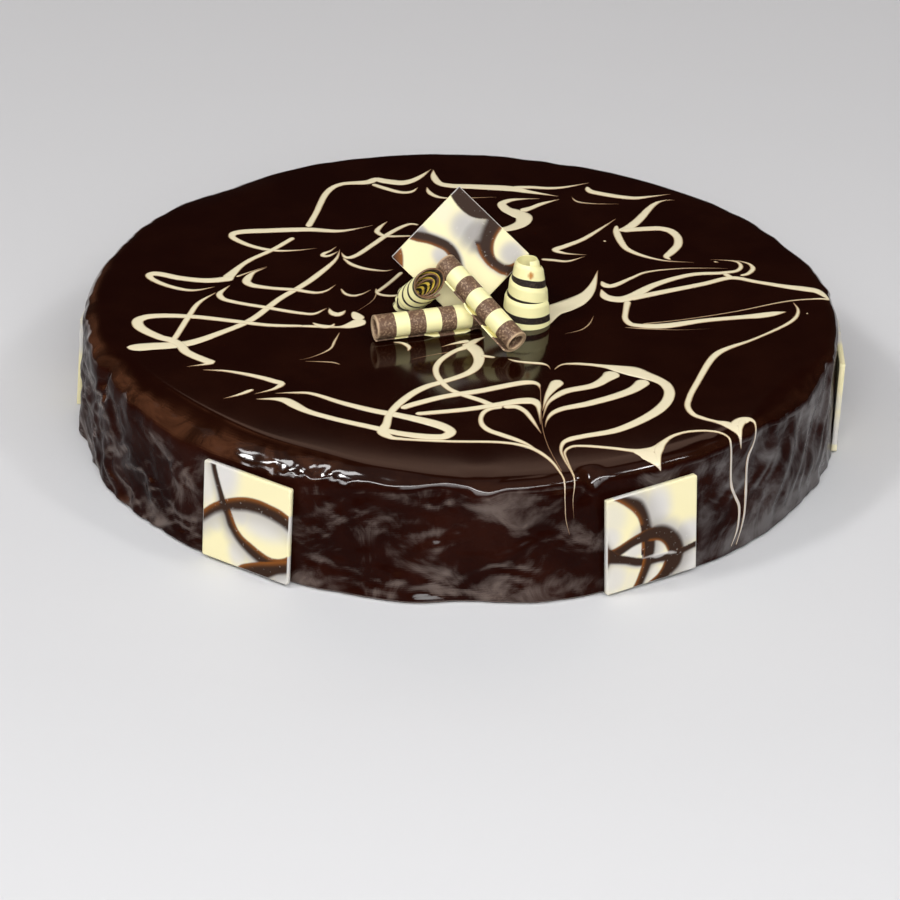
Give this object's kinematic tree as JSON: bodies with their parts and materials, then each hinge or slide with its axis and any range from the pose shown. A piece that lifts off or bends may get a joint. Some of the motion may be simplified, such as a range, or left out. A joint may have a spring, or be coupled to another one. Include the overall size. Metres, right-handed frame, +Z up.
{
  "type": "marble mud cake",
  "caption": "Low round cake under dark glaze feathered with white chocolate, marbled chocolate squares pressed round its side and chocolate rolls on top; food to cut and serve.",
  "frame": {"origin": "middle of the cake's flat underside, on its axis", "axes": "+Z up through the cake, -Y towards the front of the decorations, +X to the right seen from the front"},
  "size_m": [0.262, 0.2563, 0.0822],
  "materials": {
    "dark_glaze": "glossy poured dark chocolate glaze",
    "marbled_chocolate": "smooth cream and white chocolate swirled with brown, softly glossy",
    "striped_chocolate": "satin cream chocolate with bands of dark chocolate"
  },
  "bodies": {
    "root": {"cake": "dark_glaze", "side_tile_front_left": "marbled_chocolate", "side_tile_front_right": "marbled_chocolate", "side_tile_right": "marbled_chocolate", "side_tile_back_right": "marbled_chocolate", "side_tile_back_left": "marbled_chocolate", "side_tile_left": "marbled_chocolate", "plaque": "marbled_chocolate", "pencil_lying": "striped_chocolate", "pencil_leaning": "striped_chocolate", "cone_curl": "striped_chocolate", "scroll_curl": "striped_chocolate"}
  },
  "joints": []
}
